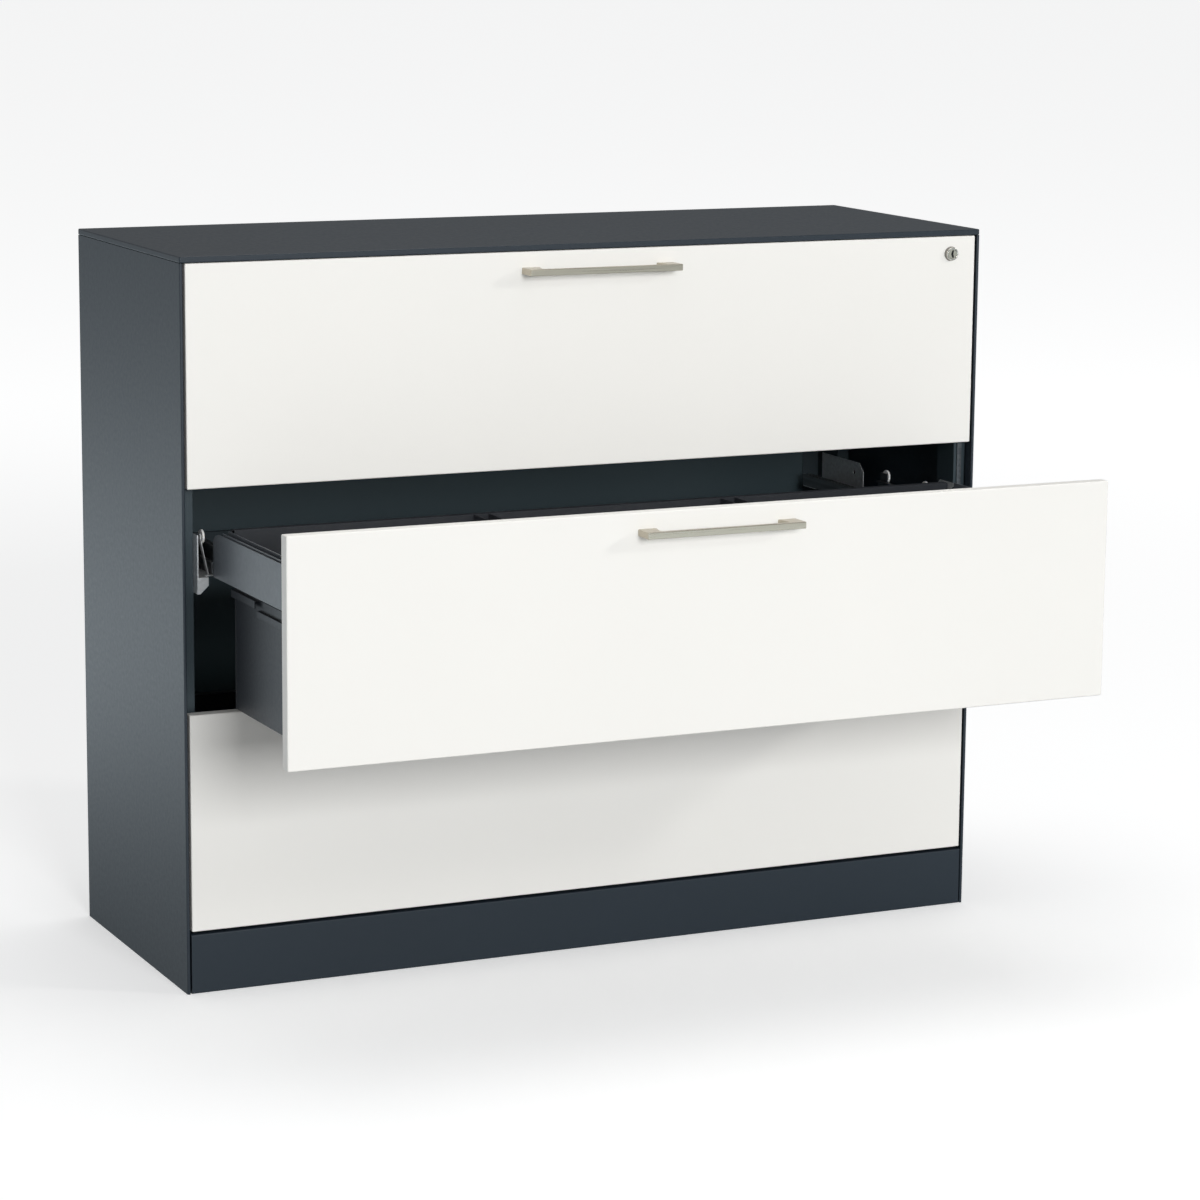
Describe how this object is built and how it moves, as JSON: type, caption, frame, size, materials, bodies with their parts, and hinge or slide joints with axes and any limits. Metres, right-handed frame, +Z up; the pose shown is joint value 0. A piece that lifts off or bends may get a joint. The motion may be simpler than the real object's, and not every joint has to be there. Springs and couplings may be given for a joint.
{
  "type": "lateral filing cabinet",
  "caption": "Free-standing lateral filing cabinet with wide telescopic drawers for rows of suspension files, bar handles and a cylinder lock that works a locking bar.",
  "frame": {"origin": "centre of the carcass's footprint, on the floor, at the underside of the centre base rail", "axes": "+X to the right seen from the front, along the cabinet's width; -Y is the front; +Z is up"},
  "size_m": [1.2, 0.835, 0.992],
  "materials": {
    "anthracite_paint": "satin powder coat",
    "white_paint": "satin powder coat",
    "drawer_paint": "satin powder coat",
    "galvanised_steel": "bright zinc plated",
    "slide_steel": "dark coated, with bright running edges",
    "nickel": "brushed nickel",
    "nylon": "smooth"
  },
  "bodies": {
    "carcass": {"side_panel_left": "anthracite_paint", "side_panel_right": "anthracite_paint", "back_panel": "anthracite_paint", "top_cover": "anthracite_paint", "top_rail": "anthracite_paint", "floor_pan": "anthracite_paint", "plinth": "anthracite_paint", "base_rail_centre": "anthracite_paint", "base_rail_rear": "anthracite_paint", "front_post_left": "anthracite_paint", "front_post_right": "anthracite_paint", "rear_post_left": "anthracite_paint", "rear_post_right": "anthracite_paint", "back_rail": "anthracite_paint", "slide_brackets_bottom": "galvanised_steel", "slide_brackets_middle": "galvanised_steel", "slide_brackets_top": "galvanised_steel", "slide_rails_bottom": "galvanised_steel", "slide_rails_middle": "galvanised_steel", "slide_rails_top": "galvanised_steel"},
    "drawer_bottom": {"front_panel_bottom": "white_paint", "handle_bottom": "nickel", "handle_screws_bottom": "galvanised_steel", "drawer_side_left_bottom": "drawer_paint", "drawer_side_right_bottom": "drawer_paint", "drawer_tray_bottom": "drawer_paint", "drawer_back_bottom": "drawer_paint", "file_rails_bottom": "drawer_paint"},
    "beams_bottom": {"slide_beams_bottom": "slide_steel"},
    "front_rollers_bottom": {"front_rollers_bottom": "nylon"},
    "rear_rollers_bottom": {"rear_rollers_bottom": "nylon"},
    "drawer_middle": {"front_panel_middle": "white_paint", "handle_middle": "nickel", "handle_screws_middle": "galvanised_steel", "drawer_side_left_middle": "drawer_paint", "drawer_side_right_middle": "drawer_paint", "drawer_tray_middle": "drawer_paint", "drawer_back_middle": "drawer_paint", "file_rails_middle": "drawer_paint"},
    "beams_middle": {"slide_beams_middle": "slide_steel"},
    "front_rollers_middle": {"front_rollers_middle": "nylon"},
    "rear_rollers_middle": {"rear_rollers_middle": "nylon"},
    "drawer_top": {"front_panel_top": "white_paint", "handle_top": "nickel", "handle_screws_top": "galvanised_steel", "drawer_side_left_top": "drawer_paint", "drawer_side_right_top": "drawer_paint", "drawer_tray_top": "drawer_paint", "drawer_back_top": "drawer_paint", "file_rails_top": "drawer_paint", "lock_housing": "nickel"},
    "beams_top": {"slide_beams_top": "slide_steel"},
    "front_rollers_top": {"front_rollers_top": "nylon"},
    "rear_rollers_top": {"rear_rollers_top": "nylon"},
    "lock_barrel": {"lock_barrel": "nickel"},
    "lock_bar": {"lock_bar": "slide_steel"}
  },
  "joints": [
    {"name": "drawer_bottom_slide", "type": "slide", "parent": "carcass", "child": "drawer_bottom", "axis": [0, -1, 0], "range_m": [0, 0.37]},
    {"name": "beams_bottom_slide", "type": "slide", "parent": "carcass", "child": "beams_bottom", "axis": [0, -1, 0], "range_m": [0, 0.185]},
    {"name": "front_rollers_bottom_turn", "type": "hinge", "parent": "carcass", "child": "front_rollers_bottom", "pos_m": [0, -0.16, 0.3128], "axis": [1, 0, 0], "range_deg": [0, 2232]},
    {"name": "rear_rollers_bottom_turn", "type": "hinge", "parent": "beams_bottom", "child": "rear_rollers_bottom", "pos_m": [0, 0.14, 0.3128], "axis": [1, 0, 0], "range_deg": [0, 1116]},
    {"name": "drawer_middle_slide", "type": "slide", "parent": "carcass", "child": "drawer_middle", "axis": [0, -1, 0], "range_m": [-0.37, 0]},
    {"name": "beams_middle_slide", "type": "slide", "parent": "carcass", "child": "beams_middle", "axis": [0, -1, 0], "range_m": [-0.185, 0]},
    {"name": "front_rollers_middle_turn", "type": "hinge", "parent": "carcass", "child": "front_rollers_middle", "pos_m": [0, -0.16, 0.6128], "axis": [1, 0, 0], "range_deg": [-2232, 0]},
    {"name": "rear_rollers_middle_turn", "type": "hinge", "parent": "beams_middle", "child": "rear_rollers_middle", "pos_m": [0, -0.045, 0.6128], "axis": [1, 0, 0], "range_deg": [-1116, 0]},
    {"name": "drawer_top_slide", "type": "slide", "parent": "carcass", "child": "drawer_top", "axis": [0, -1, 0], "range_m": [0, 0.37]},
    {"name": "beams_top_slide", "type": "slide", "parent": "carcass", "child": "beams_top", "axis": [0, -1, 0], "range_m": [0, 0.185]},
    {"name": "front_rollers_top_turn", "type": "hinge", "parent": "carcass", "child": "front_rollers_top", "pos_m": [0, -0.16, 0.9128], "axis": [1, 0, 0], "range_deg": [0, 2232]},
    {"name": "rear_rollers_top_turn", "type": "hinge", "parent": "beams_top", "child": "rear_rollers_top", "pos_m": [0, 0.14, 0.9128], "axis": [1, 0, 0], "range_deg": [0, 1116]},
    {"name": "lock_turn", "type": "hinge", "parent": "drawer_top", "child": "lock_barrel", "pos_m": [0.553, -0.2175, 0.9584], "axis": [0, 1, 0], "range_deg": [0, 90]},
    {"name": "lock_bar_slide", "type": "slide", "parent": "carcass", "child": "lock_bar", "axis": [0, 0, 1], "range_m": [0, 0.008]}
  ],
  "couplings": [
    {"joint": "beams_bottom_slide", "follows": "drawer_bottom_slide", "ratio": 0.5},
    {"joint": "front_rollers_bottom_turn", "follows": "drawer_bottom_slide", "rad_per_m": 105.26},
    {"joint": "rear_rollers_bottom_turn", "follows": "drawer_bottom_slide", "rad_per_m": 52.632},
    {"joint": "beams_middle_slide", "follows": "drawer_middle_slide", "ratio": 0.5},
    {"joint": "front_rollers_middle_turn", "follows": "drawer_middle_slide", "rad_per_m": 105.26},
    {"joint": "rear_rollers_middle_turn", "follows": "drawer_middle_slide", "rad_per_m": 52.632},
    {"joint": "beams_top_slide", "follows": "drawer_top_slide", "ratio": 0.5},
    {"joint": "front_rollers_top_turn", "follows": "drawer_top_slide", "rad_per_m": 105.26},
    {"joint": "rear_rollers_top_turn", "follows": "drawer_top_slide", "rad_per_m": 52.632},
    {"joint": "lock_turn", "follows": "lock_bar_slide", "rad_per_m": 196.34}
  ]
}
